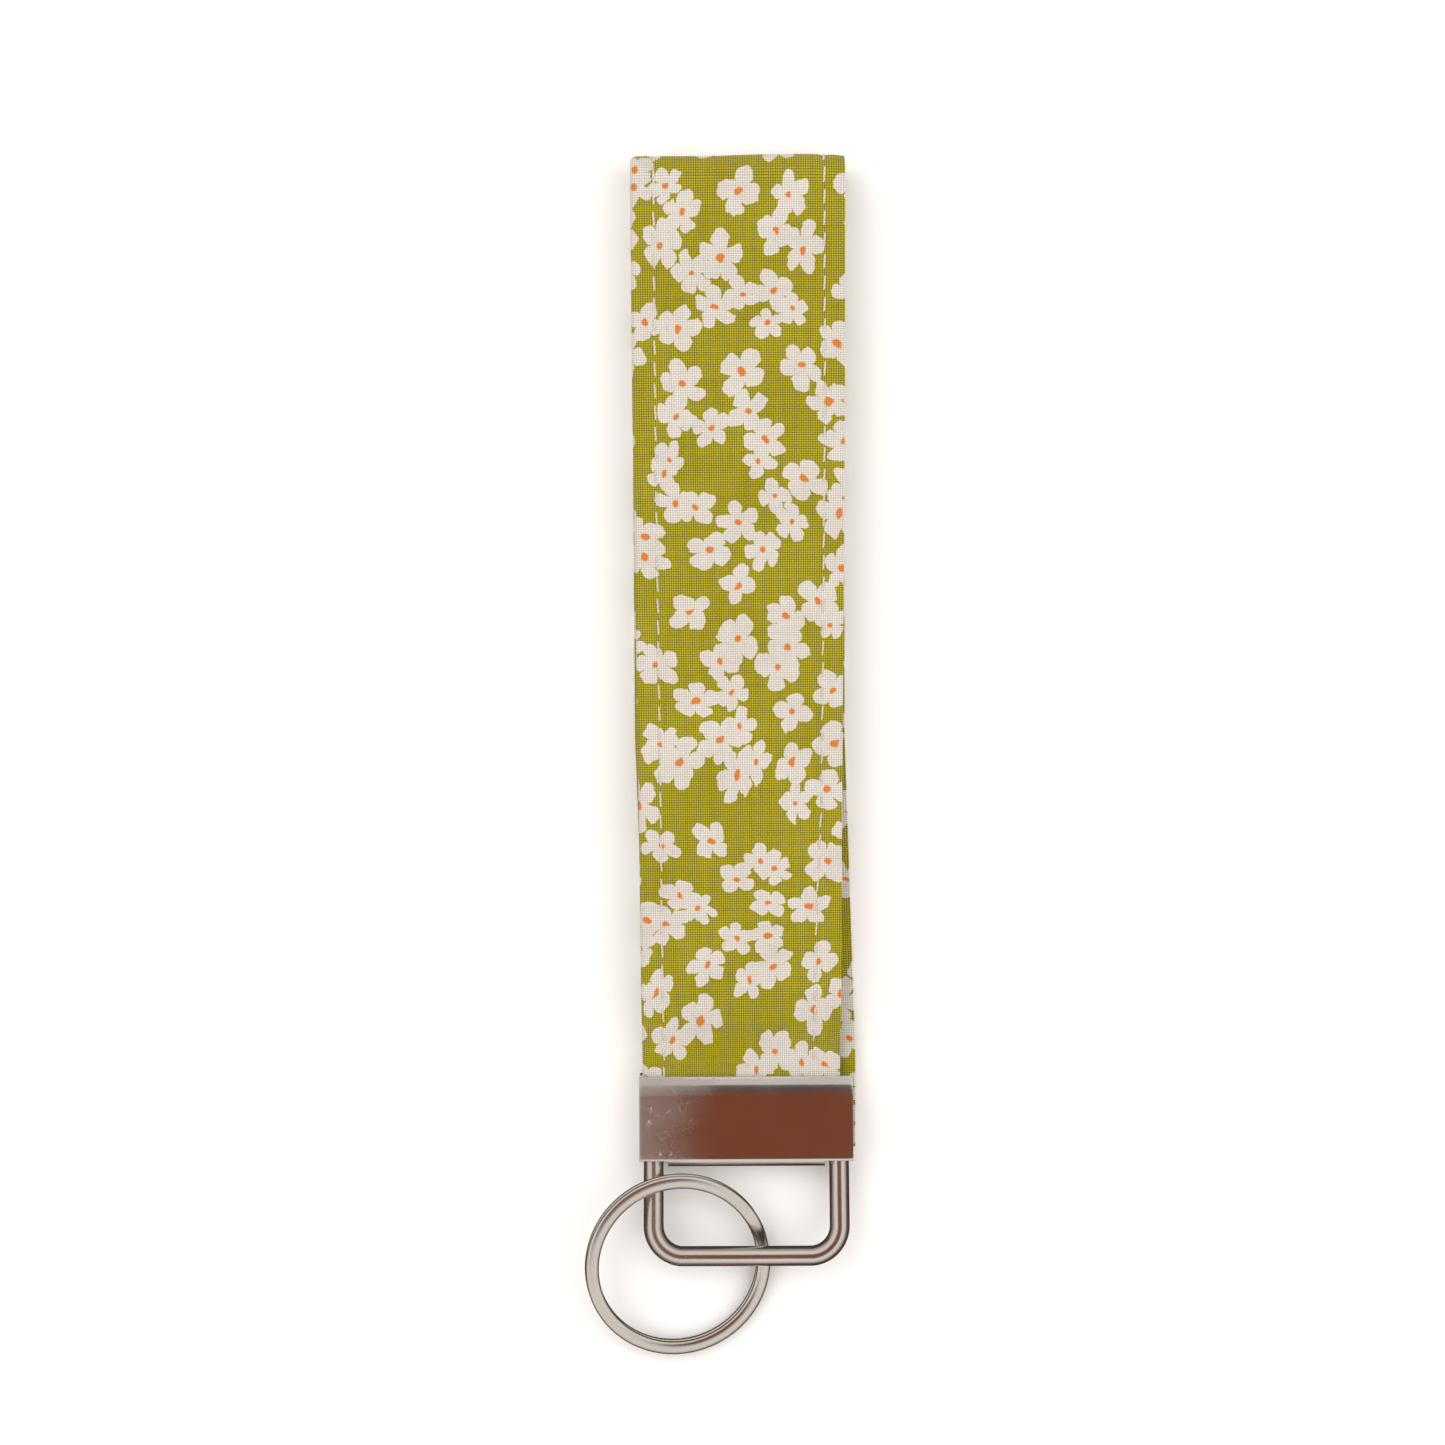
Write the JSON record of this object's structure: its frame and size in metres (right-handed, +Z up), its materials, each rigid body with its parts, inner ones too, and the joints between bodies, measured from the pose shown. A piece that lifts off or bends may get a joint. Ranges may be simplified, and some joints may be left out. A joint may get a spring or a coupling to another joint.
{
  "type": "wristlet keychain",
  "caption": "Padded cotton wrist loop, folded and crimped in a metal clamp that holds a wire bail and a split key ring.",
  "frame": {"origin": "middle of the clamp's back face, where the fob lies on a table", "axes": "+Z up out of the clamp's front face, +Y along the strap from the clamp to its fold, +X across the strap"},
  "size_m": [0.0403, 0.1805, 0.0089],
  "materials": {
    "print_cotton": "printed plain-weave quilting cotton",
    "fleece": "needled fleece padding",
    "thread": "polyester sewing thread",
    "clamp_nickel": "polished nickel plate",
    "wire_nickel": "polished nickel plate",
    "ring_steel": "polished nickel-plated spring steel"
  },
  "bodies": {
    "clamp": {"clamp_shell": "clamp_nickel", "cover_end_front": "print_cotton", "core_end_front": "fleece", "needle_thread_end_front": "thread", "bobbin_thread_end_front": "thread", "cover_end_back": "print_cotton", "core_end_back": "fleece", "needle_thread_end_back": "thread", "bobbin_thread_end_back": "thread"},
    "neck": {"cover_neck_front": "print_cotton", "core_neck_front": "fleece", "needle_thread_neck_front": "thread", "bobbin_thread_neck_front": "thread", "cover_neck_back": "print_cotton", "core_neck_back": "fleece", "needle_thread_neck_back": "thread", "bobbin_thread_neck_back": "thread"},
    "front_lower": {"cover_front_lower": "print_cotton", "core_front_lower": "fleece", "needle_thread_front_lower": "thread", "bobbin_thread_front_lower": "thread"},
    "front_upper": {"cover_front_upper": "print_cotton", "core_front_upper": "fleece", "needle_thread_front_upper": "thread", "bobbin_thread_front_upper": "thread"},
    "fold": {"cover_fold": "print_cotton", "core_fold": "fleece", "needle_thread_fold": "thread", "bobbin_thread_fold": "thread"},
    "back_upper": {"cover_back_upper": "print_cotton", "core_back_upper": "fleece", "needle_thread_back_upper": "thread", "bobbin_thread_back_upper": "thread"},
    "back_lower": {"cover_back_lower": "print_cotton", "core_back_lower": "fleece", "needle_thread_back_lower": "thread", "bobbin_thread_back_lower": "thread"},
    "bail": {"wire_bail": "wire_nickel"},
    "ring": {"split_ring": "ring_steel"}
  },
  "joints": [
    {"name": "neck_flex", "type": "hinge", "parent": "clamp", "child": "neck", "pos_m": [0, 0.0083, 0.00325], "axis": [1, 0, 0], "range_deg": [-50, 50]},
    {"name": "loop_open", "type": "hinge", "parent": "neck", "child": "front_lower", "pos_m": [0, 0.02, 0.00775], "axis": [1, 0, 0], "range_deg": [0, 28]},
    {"name": "front_knee", "type": "hinge", "parent": "front_lower", "child": "front_upper", "pos_m": [0, 0.08023, 0.00775], "axis": [1, 0, 0], "range_deg": [-56, 0]},
    {"name": "fold_front", "type": "hinge", "parent": "front_upper", "child": "fold", "pos_m": [0, 0.14045, 0.00775], "axis": [1, 0, 0], "range_deg": [0, 28]},
    {"name": "fold_back", "type": "hinge", "parent": "fold", "child": "back_upper", "pos_m": [0, 0.14045, 0.00115], "axis": [1, 0, 0], "range_deg": [0, 28]},
    {"name": "back_knee", "type": "hinge", "parent": "back_upper", "child": "back_lower", "pos_m": [0, 0.08023, 0.00115], "axis": [1, 0, 0], "range_deg": [-56, 0]},
    {"name": "bail_swing", "type": "hinge", "parent": "clamp", "child": "bail", "pos_m": [0, -0.00435, 0.00325], "axis": [-1, 0, 0], "range_deg": [-36, 20]},
    {"name": "ring_swing", "type": "hinge", "parent": "bail", "child": "ring", "pos_m": [0, -0.02019, 0.00548], "axis": [1, 0, 0], "range_deg": [0, 130]}
  ],
  "couplings": [
    {"joint": "front_knee", "follows": "loop_open", "ratio": -2},
    {"joint": "fold_front", "follows": "loop_open", "ratio": 1},
    {"joint": "fold_back", "follows": "loop_open", "ratio": 1},
    {"joint": "back_knee", "follows": "loop_open", "ratio": -2}
  ]
}
